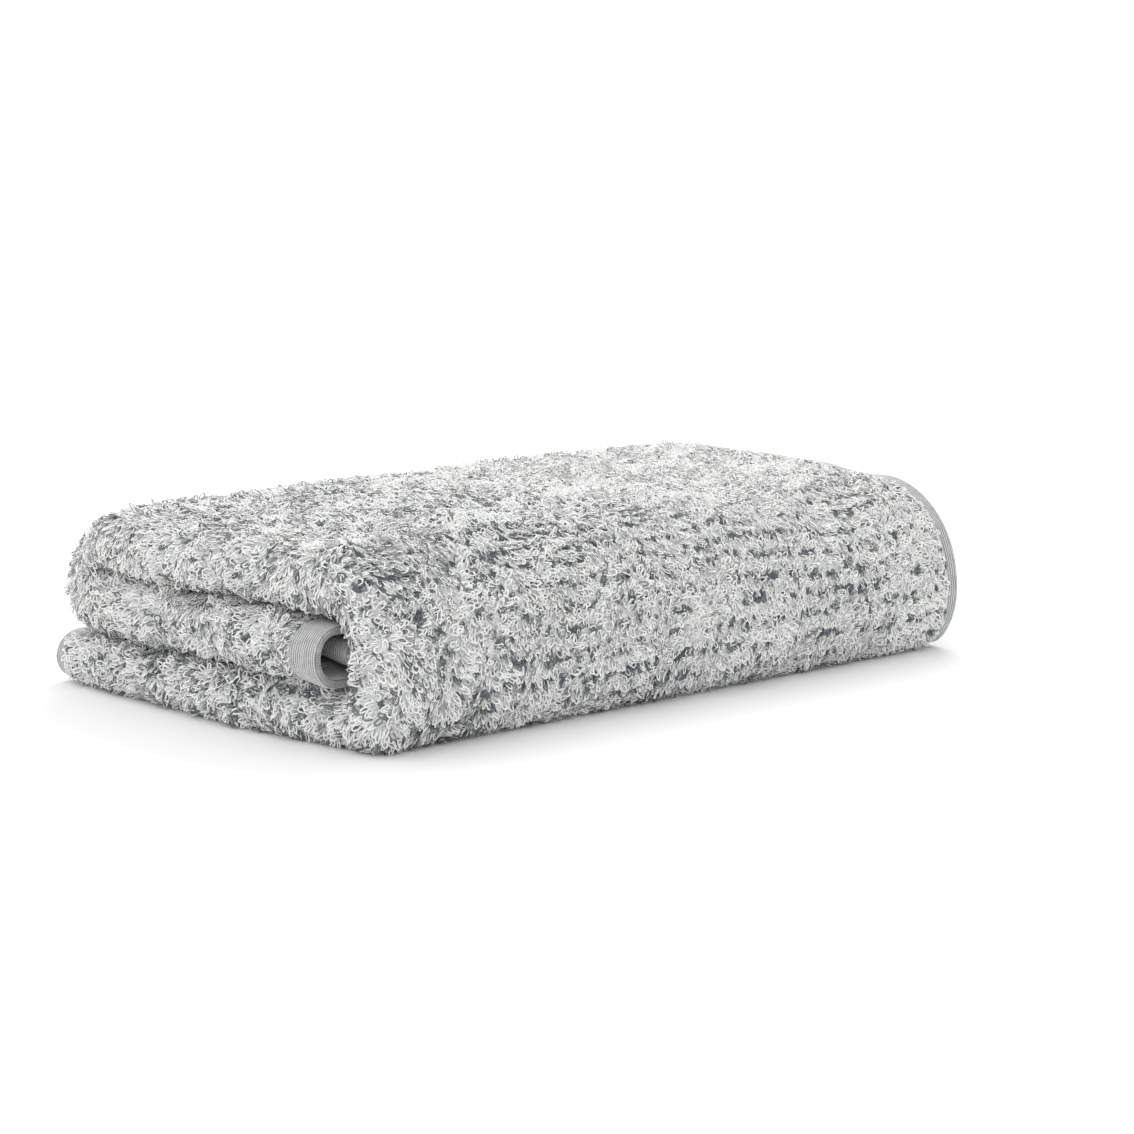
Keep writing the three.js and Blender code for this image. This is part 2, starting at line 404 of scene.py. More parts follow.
def ramp(tree, factor, stops):
    made = node(tree, "ShaderNodeValToRGB", {"Fac": factor})
    elements = made.color_ramp.elements
    while len(elements) < len(stops):
        elements.new(0.5)
    for element, (position, colour) in zip(elements, stops):
        element.position = position
        element.color = (*colour, 1)
    return made.outputs["Color"]


def calc(tree, operation, *values):
    return node(tree, "ShaderNodeMath", dict(enumerate(values)), operation=operation).outputs[0]


def spread(tree, value, low, high, to_low=0.0, to_high=1.0, kind="LINEAR"):
    """The value's way from low to high, laid out from to_low to to_high and no further."""
    ends = {"From Min": low, "From Max": high, "To Min": to_low, "To Max": to_high}
    made = node(tree, "ShaderNodeMapRange", {"Value": value, **ends}, interpolation_type=kind)
    return made.outputs["Result"]


def noise(tree, vector, scale, detail):
    inputs = {"Vector": vector, "Scale": scale, "Detail": detail}
    return node(tree, "ShaderNodeTexNoise", inputs).outputs["Fac"]


def thread_map(tree):
    return node(tree, "ShaderNodeUVMap", uv_map="thread").outputs["UV"]


def in_space(tree):
    return node(tree, "ShaderNodeTexCoord").outputs["Object"]


def bump(tree, shader, strength, distance, height):
    inputs = {"Strength": strength, "Distance": distance, "Height": height}
    made = node(tree, "ShaderNodeBump", inputs)
    tree.links.new(made.outputs["Normal"], shader.inputs["Normal"])


def blotches(tree, d, t, long, tall, layer, detail=0.0):
    """Soft noise over the flat cloth, with blotches of about the given size."""
    flat = {"X": calc(tree, "DIVIDE", d, long), "Y": calc(tree, "DIVIDE", t, tall), "Z": layer}
    return noise(tree, node(tree, "ShaderNodeCombineXYZ", flat).outputs[0], 1.0, detail)


def furrow_at(tree, d, t):
    """1 in a furrow, -1 on the ridge between two; row_at counts the same rows."""
    row = calc(tree, "DIVIDE", t, ROW)
    for size, by_d, by_t, phase in ROW_WAVES:
        turn = calc(tree, "MULTIPLY_ADD", t, by_t, calc(tree, "MULTIPLY_ADD", d, by_d, phase))
        row = calc(tree, "MULTIPLY_ADD", calc(tree, "SINE", turn), size, row)
    return calc(tree, "COSINE", calc(tree, "MULTIPLY", row, 2 * math.pi))


def tone_at(tree, d, t, own=0.0):
    """Tone of the yarn at a place of the flat cloth: 0 off-white, 1 slate.

    Slate stretches lie in furrows along the folds on the right and loosely on the left.
    """
    spots = blotches(tree, d, t, long=2.5, tall=2.1, layer=0.0, detail=1.0)
    runs = blotches(tree, d, t, long=12.0, tall=5.0, layer=7.0)
    patches = blotches(tree, d, t, long=30.0, tall=24.0, layer=14.0)
    level = calc(tree, "MULTIPLY_ADD", runs, RUNS, spots)
    level = calc(tree, "MULTIPLY_ADD", patches, PATCHES, level)
    ruling = spread(tree, d, *LOOSENED, 1.0, LOOSE, "SMOOTHSTEP")
    ruling = calc(tree, "MULTIPLY", ruling, FURROWS)
    level = calc(tree, "ADD", level, calc(tree, "MULTIPLY", furrow_at(tree, d, t), ruling))
    level = calc(tree, "ADD", level, own)
    level = calc(tree, "ADD", level, spread(tree, d, *SLATIER, 0.0, MORE_LEFT))
    # Painted light on the far top ends: less slate there, and paler
    upper = spread(tree, t, *PAINTED_LIGHT_START, 0.0, 1.0, "SMOOTHSTEP")
    right = spread(tree, d, *PAINTED_LIGHT_END, 1.0, 0.0, "SMOOTHSTEP")
    painted_light = calc(tree, "MULTIPLY", upper, right)
    level = calc(tree, "MULTIPLY_ADD", painted_light, -LESS_SLATE_IN_PAINTED_LIGHT, level)
    level = calc(tree, "ADD", level, spread(tree, t, *TOP_START, 0.0, -LESS_TOP))
    tone = spread(tree, level, *SLATE_LEVELS, 0.0, 1.0, "SMOOTHSTEP")
    return calc(tree, "MULTIPLY", tone, spread(tree, painted_light, 0.0, 1.0, 1.0, SLATE_SHARE_IN_PAINTED_LIGHT))


def loop_material():
    """Twisted cotton yarn; each loop carries its place on the flat cloth and a chance."""
    made, tree, shader = new_material("terry_loops", WHITE_YARN, 0.92)
    yarn = node(tree, "ShaderNodeAttribute", attribute_name="yarn")
    parts = node(tree, "ShaderNodeSeparateColor", {"Color": yarn.outputs["Color"]})
    d, t, chance = (parts.outputs[name] for name in ("Red", "Green", "Blue"))
    tone = tone_at(tree, d, t, spread(tree, chance, 0.0, 1.0, *LOOP_LEVELS))
    stray = calc(tree, "GREATER_THAN", chance, spread(tree, d, *STRAYS, *STRAY_FROM))
    tone = calc(tree, "MAXIMUM", tone, calc(tree, "MULTIPLY", stray, STRAY_TONE))
    folded = calc(tree, "PINGPONG", chance, GREY_EVERY)
    grey = spread(tree, folded, GREY_FROM, GREY_EVERY, 0.0, GREY_TONE)
    colour = ramp(tree, calc(tree, "MAXIMUM", tone, grey), YARN_TONES)
    fluff = noise(tree, in_space(tree), 1400.0, 2.0)
    flecked = node(tree, "ShaderNodeVectorMath", {0: colour}, operation="SCALE")
    tree.links.new(spread(tree, fluff, *NOISE, 0.92, 1.06), flecked.inputs["Scale"])
    tree.links.new(flecked.outputs["Vector"], shader.inputs["Base Color"])
    tree.links.new(spread(tree, fluff, *NOISE, 0.85, 1.0), shader.inputs["Roughness"])
    twist = node(
        tree,
        "ShaderNodeTexWave",
        {"Vector": thread_map(tree), "Scale": 1.0, "Distortion": 0.6, "Detail": 1.0},
        wave_type="BANDS",
        bands_direction="DIAGONAL",
    )
    bump(tree, shader, 0.4, 0.00006, twist.outputs["Fac"])
    shader.inputs["Sheen Weight"].default_value = 0.15
    shader.inputs["Sheen Roughness"].default_value = 0.5
    return made


def ground_material():
    """The thick of the pile under the outer loops: small curls of yarn, close together, with
    painted shade of the deep pile inside and between them.
    """
    made, tree, shader = new_material("pile_ground", (0.6, 0.6, 0.6), 0.95)
    flat = node(tree, "ShaderNodeSeparateXYZ", {"Vector": thread_map(tree)})
    tone = tone_at(tree, flat.outputs["X"], flat.outputs["Y"])
    at = in_space(tree)
    knots = node(
        tree, "ShaderNodeTexVoronoi", {"Vector": at, "Scale": 560.0, "Randomness": 1.0}
    )
    off_ring = calc(tree, "ABSOLUTE", calc(tree, "SUBTRACT", knots.outputs["Distance"], RING))
    curl = spread(tree, off_ring, *RING_EDGE, 1.0, 0.0, "SMOOTHSTEP")
    fuzz = noise(tree, at, 1100.0, 2.0)
    # Light on the curls and darker between them: painted shade of the deep pile
    ground_painted_shade = calc(tree, "MULTIPLY_ADD", curl, 0.45, spread(tree, fuzz, *NOISE, 0.1, 0.5))
    both = node(tree, "ShaderNodeMix", data_type="RGBA")
    tree.links.new(tone, both.inputs[0])
    tree.links.new(ramp(tree, ground_painted_shade, PALE_GROUND_WITH_PAINTED_SHADE), both.inputs[6])
    tree.links.new(ramp(tree, ground_painted_shade, SLATE_GROUND_WITH_PAINTED_SHADE), both.inputs[7])
    tree.links.new(both.outputs[2], shader.inputs["Base Color"])
    bump(tree, shader, 0.8, 0.0004, calc(tree, "MULTIPLY_ADD", fuzz, 0.5, curl))
    shader.inputs["Sheen Weight"].default_value = 0.15
    return made


def tape_material():
    """Fine ribbed cotton tape; the thread map holds millimetres along and across it. Painted shade
    darkens the rib grooves and the folded edge, and a painted highlight lightens the rib tops.
    """
    made, tree, shader = new_material("binding_tape", (0.33, 0.332, 0.338), 0.8)
    twill = node(
        tree,
        "ShaderNodeTexWave",
        {
            "Vector": thread_map(tree),
            "Scale": 0.9,
            "Distortion": 0.5,
            "Detail": 1.0,
            "Detail Scale": 2.0,
        },
        wave_type="BANDS",
        bands_direction="DIAGONAL",
    )
    mottle = noise(tree, in_space(tree), 420.0, 3.0)
    mixed = calc(tree, "MULTIPLY_ADD", twill.outputs["Fac"], 0.6, mottle)
    # Painted shade of the ribs: dark in the grooves and at the folded edge, light on the rib tops
    ribs = node(tree, "ShaderNodeAttribute", attribute_name="yarn").outputs["Fac"]
    height = calc(tree, "MULTIPLY_ADD", ribs, 1.8, mixed)
    colour = ramp(tree, spread(tree, height, 0.2, 2.9), TAPE_TONES_WITH_PAINTED_SHADE)
    tree.links.new(colour, shader.inputs["Base Color"])
    bump(tree, shader, 0.6, 0.00012, mixed)
    shader.inputs["Sheen Weight"].default_value = 0.2
    return made


LOOPS = loop_material()
GROUND_CLOTH = ground_material()
TAPE_CLOTH = tape_material()


# Ground cloth and tapes: closed sheets on a fine grid of the flat cloth

GROUND = 1.5  # half the thickness of the ground cloth under the loops
PRESSED = 2.15  # how far the underside lies from the middle of its layer
PRESSED_T = T_FRONT - 6, T_FRONT + 8  # where that ends towards the front fold
PRESSED_D = D_FOLD, D_FOLD + 6  # and where it ends towards the left fold
RIB = 1.08  # from one rib of the tape to the next
RIB_RISE = 0.2  # how far a rib stands out from the tape's mean face
ROUNDING = 1.2  # how far in from its folded edge the tape is rounded
EDGE_SHARE = 0.25  # thickness at that edge, as a share of the full one
EDGE_PAINTED_SHADE, EDGE_PAINTED_SHADE_TO = 0.35, 0.8  # painted shade at that edge, as the share of the rib value left there, and how far in it reaches
TAPE_STOP = 0.22  # from one stop to the next across a tape
ROUNDING_STOPS = (0.04, 0.15, 0.4)  # extra stops, counted from its folded edge
CROWDED = 0.35  # stops closer together than this share of a curved step are left out


def closed_sheet(name, across, along, half, material, painted_tape_shade=None):
    """A closed sheet; half(side, across, along) is its half thickness on either side. The optional
    function after the material gives each point the painted shade of a tape's ribs and folded
    edge.
    """
    na, nt = len(across), len(along)
    d, t = np.meshgrid(across, along, indexing="ij")
    sides = [place(d, t, side * half(side, d, t)) for side in (1, -1)]
    points = np.concatenate([s.reshape(-1, 3) for s in sides])
    uv = np.tile(np.stack([d, t], axis=-1).reshape(-1, 2), (2, 1))
    at = np.arange(2 * na * nt).reshape(2, na, nt)
    i, j = np.meshgrid(np.arange(na - 1), np.arange(nt - 1), indexing="ij")
    face = np.stack([at[0, i, j], at[0, i, j + 1], at[0, i + 1, j + 1], at[0, i + 1, j]], -1)
    back = np.stack([at[1, i, j], at[1, i + 1, j], at[1, i + 1, j + 1], at[1, i, j + 1]], -1)
    quads = [face.reshape(-1, 4), back.reshape(-1, 4)]
    a, b = np.arange(na - 1), np.arange(nt - 1)
    quads.append(np.stack([at[0, a, 0], at[0, a + 1, 0], at[1, a + 1, 0], at[1, a, 0]], -1))
    quads.append(np.stack([at[0, a, -1], at[1, a, -1], at[1, a + 1, -1], at[0, a + 1, -1]], -1))
    quads.append(np.stack([at[0, 0, b], at[1, 0, b], at[1, 0, b + 1], at[0, 0, b + 1]], -1))
    quads.append(np.stack([at[0, -1, b], at[0, -1, b + 1], at[1, -1, b + 1], at[1, -1, b]], -1))
    colours = None
    # the tapes' painted shade of ribs and folded edge, kept as the attribute yarn
    if painted_tape_shade:
        colours = np.ones((2 * na * nt, 4))
        colours[:, :3] = np.tile(painted_tape_shade(d, t).ravel(), 2)[:, None]
    return mesh_of(name, points, np.concatenate(quads), material, uv, colours)


def steps(start, end, starts, straight, curved, curves):
    """Stops from start to end, closer together in the pieces numbered in curves."""
    found = [start, end]
    for number, (a, b) in enumerate(zip(starts[:-1], starts[1:])):
        count = max(1, round((b - a) / (curved if number in curves else straight)))
        found.extend(a + (b - a) * k / count for k in range(count))
    found = np.unique(np.round(found, 4))
    found = found[(found >= start) & (found <= end)]
    keep = np.concatenate([[True], np.diff(found) > CROWDED * curved])
    keep[-1] = True
    return found[keep]


def ground_half(side, d, t):
    """Thin between the loops, thicker on the underside, which its weight presses flat."""
    if side < 0:
        return np.full(d.shape, GROUND)
    under = 1 - ease(t, *PRESSED_T)
    outermost = 1 - ease(d, *PRESSED_D)
    return GROUND + (PRESSED - GROUND) * under * outermost


cloth = closed_sheet(
    "towel_cloth",
    steps(*CLOTH_D, LAYER_STARTS, 14.0, 1.5, LAYER_FOLDS),
    steps(*CLOTH_T, STARTS, 7.0, 2.6, WINDING_FOLDS),
    ground_half,
    GROUND_CLOTH,
)


def tape_half(long_edge, low, edge):
    """Half the tape's thickness: fine ribs along its length and a rounded fold at its edge."""

    def half(side, d, t):
        s = t if long_edge else d
        ribs = RIB_RISE * np.cos(2 * math.pi * (s - low) / RIB)
        f = np.clip(np.abs(s - edge) / ROUNDING, 0, 1)
        return (TAPE / 2 + ribs) * (EDGE_SHARE + (1 - EDGE_SHARE) * np.sqrt(1 - (1 - f) ** 2))

    return half


def painted_rib_shade(long_edge, low, edge):
    """Painted shade and highlight of the tape: 1 on top of a rib, 0 in the groove beside it and
    less at the tape's folded edge.
    """

    def value(d, t):
        s = t if long_edge else d
        ribs = 0.5 + 0.5 * np.cos(2 * math.pi * (s - low) / RIB)
        return ribs * (EDGE_PAINTED_SHADE + (1 - EDGE_PAINTED_SHADE) * ease(np.abs(s - edge), 0.0, EDGE_PAINTED_SHADE_TO))

    return value


def stops_across(low, high, edge):
    """Stops across a tape, with extra ones where its folded edge is round."""
    inwards = 1 if edge == low else -1
    found = list(np.linspace(low, high, max(2, round((high - low) / TAPE_STOP)) + 1))
    return np.unique(found + [edge + inwards * v for v in ROUNDING_STOPS])


def tape(name, long_edge, low, high, edge):
    """Tape over a long or a short edge of the cloth, from low to high and folded at edge."""
    across_it = stops_across(low, high, edge)
    return closed_sheet(
        name,
        all_across if long_edge else across_it,
        across_it if long_edge else cloth_along,
        tape_half(long_edge, low, edge),
        TAPE_CLOTH,
        painted_rib_shade(long_edge, low, edge),
    )


all_across = steps(0, ACROSS, LAYER_STARTS, 13.0, 1.1, LAYER_FOLDS)
cloth_along = steps(*CLOTH_T, STARTS, 6.0, 2.2, WINDING_FOLDS)
tapes = [
    tape("tape_outer_end", True, 0, TAPE_OUTER, 0),
    tape("tape_inner_end", True, ALONG - TAPE_INNER, ALONG, ALONG),
    tape("tape_short_outer", False, 0, TAPE_SHORT, 0),
    tape("tape_short_inner", False, ACROSS - TAPE_SHORT, ACROSS, ACROSS),
]
for piece, stands_for in zip(
    tapes,
    ("binding_outer_end", "binding_inner_end", "binding_short_outer", "binding_short_inner"),
):
    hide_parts(stands_for)
    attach(piece, "root")

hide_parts("pile_cloth")
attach(cloth, "root")


# Loops of the pile

# The middle line of a loop's yarn, as points from root to root
TURN = np.radians([-146, -98, -48, 0, 48, 98, 146])  # round the loop, counted from its tip
UP = (np.cos(TURN) - np.cos(TURN[0])) / (1 - np.cos(TURN[0]))  # height, as a share of the loop's
WIDE = np.sin(TURN) / 2  # how far out to the side, as a share of its width
FULL = np.array([0.75, 0.95, 1.05, 1.1, 1.05, 0.95, 0.75])  # thickness of the yarn there
SLANT = np.linspace(-0.5, 0.5, len(TURN))  # the legs pass each other
LINKS = len(TURN) - 1

# Its yarn is a strip bent to a low ridge, three points across
YARN = 0.25  # half the width of the strip
RIDGE = 0.65  # height of the ridge, as a share of that
ACROSS_YARN = np.array([0.0, 0.45, 0.9])  # places of the three points in the thread map
YARN_LENGTH = 2.2  # length of the yarn, as a share of the loop's height
POINTS = 3 * len(TURN)

# Roots and lean of the loops
ROOTED = 0.85  # height of the root, as a share of the ground cloth's half thickness
PROBE = 0.15  # how far to either side the cloth is felt for its directions
LAY = ((0.8, 13, 11), (1.2, 37, 12))  # noise of the way a loop leans: (radians, length, seed)
TUFTS = (0.5, 7, 22)  # the same for the tufts of the combed pile
OWN_WAY, COMBED_WAY = 1.0, 0.6  # its own spread in radians, and the share that combing takes off
HANG, COMBED_HANG = 0.25, 0.7  # how much it leans down by its weight, and by combing
TOP_UNCOMBED = 0.65  # how much less the flat top is combed
FLAT_TOP_EDGE = D_FOLD - 22, D_FOLD
SEAM_BAND, OFF_SEAM = 3, 2  # width of the band beside a tape, and how strongly it leans off it
TURN_SPREAD = 0.55  # radians that its plane is turned by
LEAN_SPREAD, LEAN_ENDS = 12, (0.3, 1.4)  # degrees, and radians

# Size of the loops, with its spreads and changes
TALL_SPREAD, RIDGE_TALLER, SEAM_LOWER = 0.14, 0.11, 0.3  # shares of the height, as below
COMBED_TALLER, TUFT_TALLER, TUFT_WAVES = 0.13, 0.1, (8, 21)  # waves as (length, seed)
CREASE_LOWER, MOUTH_TALLER = 0.55, 0.25  # in the creases, and round the front fold's hollow
BROAD, COMBED_BROADER, BROAD_SPREAD, BROAD_ENDS = 1.58, 0.02, 0.27, (0.9, 2.3)  # millimetres
THICK_SPREAD, THICK_ENDS = 0.1, (0.6, 1.4)  # shares of the yarn's width
SLANT_SPREAD, JITTER = 0.45, 0.045  # how far the legs pass each other, and points stray

# Stretches that the sizes use: of the front fold, and of the left one and its creases
FRONT_T, FRONT_END = (T_FRONT - 12, T_FRONT - 2), (T_TOP - 30, T_TOP - 10)
INNER_CREASE, OUTER_CREASE = (D_INNERMOST - 4, D_INNERMOST + 0.5), (D_FOLD, D_FOLD + 4)
CREASE_TO, MOUTH_TO = D_INNERMOST + 8.1, D_INNERMOST + 3
MOUTH_D = D_FOLD + 6, D_INNERMOST - 4


def waves(d, t, length, seed, count=5):
    """Smooth noise of about unit size over the flat cloth."""
    own = np.random.default_rng(seed)
    total = np.zeros(np.shape(d))
    for _ in range(count):
        turn, phase = own.random(2) * 2 * math.pi
        wave = length * (0.7 + 0.8 * own.random())
        way = d * math.cos(turn) + t * math.sin(turn)
        total = total + np.sin(2 * math.pi * way / wave + phase)
    return total / math.sqrt(count / 2)


def row_at(d, t):
    """Furrows along the folds, counted from the outer end and slightly wavy."""
    row = t / ROW
    for size, by_d, by_t, phase in ROW_WAVES:
        row = row + size * np.sin(by_d * d + by_t * t + phase)
    return row


def combing(d, t):
    """How much the pile is combed: 1 on the left, 0 on the right, less on the flat top."""
    flat_top = ease(t, *FLAT_START) * (1 - ease(d, *FLAT_TOP_EDGE))
    return ease(d, *COMBED) * (1 - TOP_UNCOMBED * flat_top)


def off_tape(value, span):
    """The way off the nearest tape: 1 at the low edge, -1 at the high one, 0 between."""
    low, high = span
    return ease(-value, -low - SEAM_BAND, -low) - ease(value, high - SEAM_BAND, high)


def lie(d, t, side):
    """Where roots lie, the cloth's directions and normal there, and its area's share."""
    root = side * np.full(d.shape, GROUND * ROOTED)
    e_d = (place(d + PROBE, t, root) - place(d - PROBE, t, root)) / (2 * PROBE)
    e_t = (place(d, t + PROBE, root) - place(d, t - PROBE, root)) / (2 * PROBE)
    base = place(d, t, root)
    out = place(d, t, root + side * 0.5) - base
    cross = np.cross(e_d, e_t)
    area = np.linalg.norm(cross, axis=-1)
    normal = unit(cross) * np.sign((cross * out).sum(-1))[:, None]
    return base, unit(e_d), e_t, normal, area


def scatter(own, span_d, span_t, side, area_each):
    """Random places for loops, with one on each area_each of the cloth as it lies."""
    cell = math.sqrt(area_each)
    nd = max(1, round((span_d[1] - span_d[0]) / cell))
    nt = max(1, round((span_t[1] - span_t[0]) / cell))
    cd, ct = (span_d[1] - span_d[0]) / nd, (span_t[1] - span_t[0]) / nt
    i, j = (v.ravel() for v in np.meshgrid(np.arange(nd), np.arange(nt), indexing="ij"))
    area = lie(span_d[0] + (i + 0.5) * cd, span_t[0] + (j + 0.5) * ct, side)[-1]
    count = np.floor(area * cd * ct / area_each + own.random(len(i))).astype(int)
    i, j = np.repeat(i, count), np.repeat(j, count)
    d = span_d[0] + (i + own.random(len(i))) * cd
    t = span_t[0] + (j + own.random(len(j))) * ct
    return d, t


def leaning(own, d, t, left, off_d, off_t, directions):
    """The way that each loop leans in the face of the cloth."""
    u, v, s, normal = directions
    (first, first_length, first_seed), (second, second_length, second_seed) = LAY
    way = first * waves(d, t, first_length, first_seed)
    way = way + second * waves(d, t, second_length, second_seed)
    way = way + TUFTS[0] * left * waves(d, t, *TUFTS[1:])
    way = way + (1 - COMBED_WAY * left) * own.normal(0, OWN_WAY, len(d))
    down = np.array([0, 0, -1.0]) - (-normal[:, 2])[:, None] * normal
    a = np.cos(way)[:, None] * u + np.sin(way)[:, None] * v
    hang = HANG + COMBED_HANG * left
    a = a + hang[:, None] * down
    a = a + OFF_SEAM * off_d[:, None] * u + OFF_SEAM * off_t[:, None] * s
    a = unit(a + 1e-6)
    return unit(a - (a * normal).sum(-1)[:, None] * normal)


def heights(own, d, t, side, left, beside_tape, stand):
    """Height of each loop: taller on ridges and at the mouth, lower in creases and at tapes."""
    ridge = -np.cos(2 * math.pi * row_at(d, t))
    ridge = ridge * (LOOSE + (1 - LOOSE) * (1 - ease(d, *LOOSENED)))
    spread_out = TALL_SPREAD * own.normal(0, 1, len(d)).clip(-2, 2)
    tall = stand * (1 + spread_out + RIDGE_TALLER * ridge)
    tall = tall * (1 + left * (COMBED_TALLER + TUFT_TALLER * waves(d, t, *TUFT_WAVES)))
    tall = tall * (1 - SEAM_LOWER * beside_tape.clip(0, 1))
    front = ease(t, *FRONT_T) * (1 - ease(t, *FRONT_END))
    crease = ease(d, *INNER_CREASE) * (1 - front)
    crease = crease + (1 - ease(d, *OUTER_CREASE)) * (t > T_UNDER_BACK) * (side > 0)
    tall = tall * (1 - CREASE_LOWER * crease * (d < CREASE_TO))
    mouth = front * ease(d, *MOUTH_D) * (d < MOUTH_TO)
    return tall * (1 + MOUTH_TALLER * mouth)


def yarn_strips(centre, tilt, normal, a, thick):
    """Points of the strips of yarn round their middle lines, with the ridge looking out."""
    along = unit(np.gradient(centre, axis=1))
    upper = np.sin(tilt)[:, None] * normal - np.cos(tilt)[:, None] * a
    upper = unit(upper + 0.6 * normal)[:, None, :]
    apex = unit(upper - (upper * along).sum(-1)[..., None] * along)
    across = np.cross(along, apex)
    width = (thick[:, None] * FULL)[..., None]
    points = np.stack(
        [centre - width * across, centre + RIDGE * width * apex, centre + width * across], axis=2
    )
    points[..., 2] = np.maximum(points[..., 2], 0.2)  # clear of the floor
    return points


def loop_mesh(name, points, tall, d, t, chance):
    """All the loops of a piece as one mesh, with their maps and the numbers of their yarn."""
    m = len(d)
    rung = np.arange(LINKS)[:, None] * 3
    strip = np.concatenate([rung, rung + 1, rung + 4, rung + 3], axis=1)
    strip = np.concatenate([strip, strip + 1])
    quads = (np.arange(m)[:, None, None] * POINTS + strip[None]).reshape(-1, 4)
    length = np.linspace(0, 1, LINKS + 1)[None, :, None] * (YARN_LENGTH * tall)[:, None, None]
    shape = (m, LINKS + 1, 3)
    uv = np.stack([np.broadcast_to(length, shape), np.broadcast_to(ACROSS_YARN, shape)], axis=-1)
    wide = math.ceil(math.sqrt(m))  # each loop has a cell of its own to be baked in
    corner_of = np.stack([np.arange(m) % wide, np.arange(m) // wide], axis=-1)
    inside = np.stack(
        np.meshgrid(np.linspace(0.06, 0.94, LINKS + 1), [0.1, 0.5, 0.9], indexing="ij"), axis=-1
    )
    cells = (corner_of[:, None, :] + inside.reshape(1, POINTS, 2)) / wide
    colours = np.ones((m, POINTS, 4))
    colours[..., :3] = np.stack([d, t, chance], axis=-1)[:, None]
    return mesh_of(
        name,
        points.reshape(-1, 3),
        quads,
        LOOPS,
        uv.reshape(-1, 2),
        colours.reshape(-1, 4),
        cells.reshape(-1, 2),
    )


def loops(name, span_d, span_t, side, area_each, stand, lean, reach=1.0):
    """Loops over part of one side of the cloth, leaning by about so many degrees."""
    own = np.random.default_rng(sum(map(ord, name)))
    d, t = scatter(own, span_d, span_t, side, area_each)
    m = len(d)
    base, u, e_t, normal, _ = lie(d, t, side)
    u = unit(u - (u * normal).sum(-1)[:, None] * normal)
    v = np.cross(normal, u)
    s = v * np.sign((v * e_t).sum(-1))[:, None]

    chance = own.random(m)
    left = combing(d, t)
    off_d, off_t = off_tape(d, CLOTH_D), off_tape(t, CLOTH_T)
    a = leaning(own, d, t, left, off_d, off_t, (u, v, s, normal))
    b = np.cross(normal, a)
    turn = own.normal(0, TURN_SPREAD, m)
    b = np.cos(turn)[:, None] * b + np.sin(turn)[:, None] * a
    tilt = np.radians(own.normal(lean, LEAN_SPREAD, m)).clip(*LEAN_ENDS)
    tall = heights(own, d, t, side, left, np.abs(off_d) + np.abs(off_t), stand)
    broad = BROAD + COMBED_BROADER * left + BROAD_SPREAD * own.normal(0, 1, m)
    broad = broad.clip(*BROAD_ENDS) * reach
    thick = YARN * (1 + THICK_SPREAD * own.normal(0, 1, m)).clip(*THICK_ENDS)

    bent = tilt[:, None] * (0.55 + 0.5 * UP[None, :])  # it leans more towards its tip
    rise = (tall[:, None] * UP)[..., None]
    centre = base[:, None, :] + rise * (
        np.cos(bent)[..., None] * normal[:, None, :] + np.sin(bent)[..., None] * a[:, None, :]
    )
    centre = centre + (broad[:, None] * WIDE)[..., None] * b[:, None, :]
    slant = own.normal(0, SLANT_SPREAD, m)
    centre = centre + (slant[:, None] * SLANT)[..., None] * a[:, None, :]
    centre = centre + own.normal(0, JITTER, centre.shape)

    points = yarn_strips(centre, tilt, normal, a, thick)
    piece = loop_mesh(name, points, tall, d, t, chance)
    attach(piece, "root")
    return piece


# Stretches that carry loops, along d and along t
HALFWAY = 130  # where the front and the top are split into a left and a right piece
RIGHT_D, LEFT_D = (CLOTH_D[0], HALFWAY), (HALFWAY, D_FOLD)
FRONT_SPAN, TOP_SPAN, BACK_SPAN = (T_FRONT - 3, T_TOP), (T_TOP, T_BACK), (T_BACK, T_UNDER_BACK)
FOLD_SPAN = (D_FOLD, D_INNERMOST + 8)
FIRST_SPAN = (D_FIRST - 3, D_FIRST + 11)
LEDGE_D, LEDGE_T = (D_INNERMOST + 8, D_FIRST - 3), (CLOTH_T[0], 26)
OUTER_EDGE, INNER_EDGE = (CLOTH_D[0], 15), (CLOTH_D[1] - 9, CLOTH_D[1])

# Name, stretches, side, area for each loop, height, lean and how much broader
pile = [
    loops("loops_front_left", LEFT_D, FRONT_SPAN, 1, 2.35, 2.4, 54, 1.06),
    loops("loops_front_right", RIGHT_D, FRONT_SPAN, 1, 2.35, 2.15, 53, 1.0),
    loops("loops_top_left", LEFT_D, TOP_SPAN, 1, 2.4, 2.35, 60, 1.04),
    loops("loops_top_right", RIGHT_D, TOP_SPAN, 1, 2.4, 2.15, 53, 1.0),
    loops("loops_back", (CLOTH_D[0], D_FOLD), BACK_SPAN, 1, 4.0, 2.6, 54, 1.12),
    loops("loops_left_fold", FOLD_SPAN, CLOTH_T, 1, 2.4, 2.55, 57, 1.08),
    loops("loops_first_fold", FIRST_SPAN, CLOTH_T, 1, 4.6, 2.6, 54, 1.12),
    loops("loops_ledge", LEDGE_D, LEDGE_T, 1, 4.2, 2.6, 54, 1.12),
    loops("loops_edge_outer", OUTER_EDGE, CLOTH_T, -1, 4.8, 2.4, 54, 1.12),
    loops("loops_edge_inner", INNER_EDGE, CLOTH_T, 1, 4.8, 2.4, 54, 1.12),
    loops("loops_edge_inner_under", INNER_EDGE, CLOTH_T, -1, 4.8, 2.4, 54, 1.12),
]


# Floor: two rings round a middle disc, larger than any view

FLOOR_RADIUS, FLOOR_SIDES = 8000, 96
MIDDLE_SHARE, RING_SHARE = 0.02, 0.2

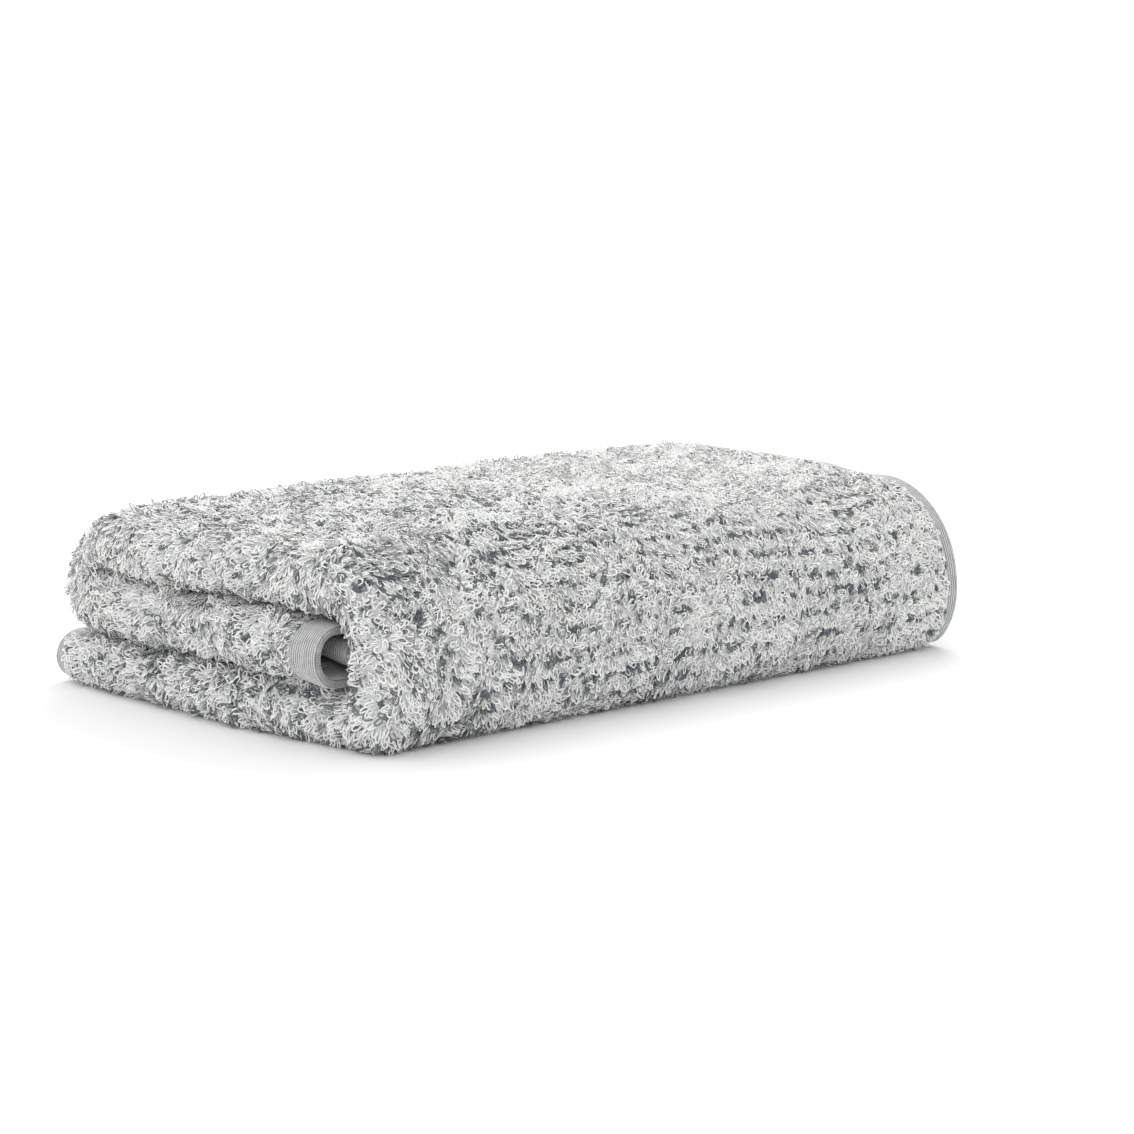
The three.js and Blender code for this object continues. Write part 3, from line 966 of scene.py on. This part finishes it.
floor_material, floor_tree, floor_shader = new_material("studio_floor", (0.9, 0.9, 0.9), 0.9)
grain = node(floor_tree, "ShaderNodeTexNoise", {"Vector": in_space(floor_tree), "Scale": 3.0})
floor_tree.links.new(
    ramp(floor_tree, grain.outputs["Fac"], FLOOR_TONES),
    floor_shader.inputs["Base Color"],
)
around = np.linspace(0, 2 * math.pi, FLOOR_SIDES + 1)[:-1]
rim = np.stack(
    [FLOOR_RADIUS * np.cos(around), FLOOR_RADIUS * np.sin(around), np.zeros(FLOOR_SIDES)], axis=-1
)
here = np.arange(FLOOR_SIDES)
there = (here + 1) % FLOOR_SIDES
floor_quads = [
    np.stack([a + here, a + FLOOR_SIDES + here, a + FLOOR_SIDES + there, a + there], -1)
    for a in (0, FLOOR_SIDES)
]
floor = mesh_of(
    "studio_floor",
    np.concatenate([rim * MIDDLE_SHARE, rim * RING_SHARE, rim]),
    np.concatenate(floor_quads),
    floor_material,
)
middle_disc = bpy.data.meshes.new("studio_floor_middle")
middle_disc.from_pydata(
    [tuple(p * 0.001) for p in rim * MIDDLE_SHARE], [], [tuple(range(FLOOR_SIDES))]
)
middle_disc.materials.append(floor_material)
middle = bpy.data.objects.new("studio_floor_middle", middle_disc)
bpy.context.scene.collection.objects.link(middle)


# Lights and camera, in metres

world = bpy.data.worlds.new("studio")
world.use_nodes = True
world.node_tree.nodes["Background"].inputs["Color"].default_value = (1, 1, 1, 1)
world.node_tree.nodes["Background"].inputs["Strength"].default_value = 1.0
bpy.context.scene.world = world


def softbox(name, location, target, size, power):
    """A round area light that looks at the target."""
    light = bpy.data.lights.new(name, "AREA")
    light.shape = "DISK"
    light.size = size
    light.energy = power
    obj = bpy.data.objects.new(name, light)
    obj.location = location
    way = np.array(target) - np.array(location)
    obj.rotation_mode = "QUATERNION"
    obj.rotation_quaternion = Vector(way).to_track_quat("-Z", "Y")
    bpy.context.scene.collection.objects.link(obj)
    return obj


sun = bpy.data.lights.new("sky", "SUN")
sun.angle = math.radians(70)
sun.energy = 0.63
sky = bpy.data.objects.new("sky", sun)
sky.rotation_euler = (math.radians(-22), math.radians(-18), 0)
bpy.context.scene.collection.objects.link(sky)
softbox("fill", location=(-1.2, -0.9, 0.9), target=(0, 0, 0.03), size=0.8, power=2.0)
softbox("back", location=(0.8, 0.6, 0.8), target=(0.08, 0, 0.05), size=0.8, power=5.0)

CAMERA_AT = (-0.748508, -0.857602, 0.235905)  # worked out from the photograph
LOOKS_DOWN, SEEN_ROUND = 10, 48  # degrees below level, and round from the folds' direction

camera_data = bpy.data.cameras.new("camera")
camera_data.lens = 105
camera_data.sensor_width = 36
camera = bpy.data.objects.new("camera", camera_data)
camera.location = CAMERA_AT
camera.rotation_mode = "XYZ"
camera.rotation_euler = (math.radians(90 - LOOKS_DOWN), 0, math.radians(SEEN_ROUND - 90))
bpy.context.scene.collection.objects.link(camera)
bpy.context.scene.camera = camera
bpy.context.scene.view_settings.view_transform = "Standard"
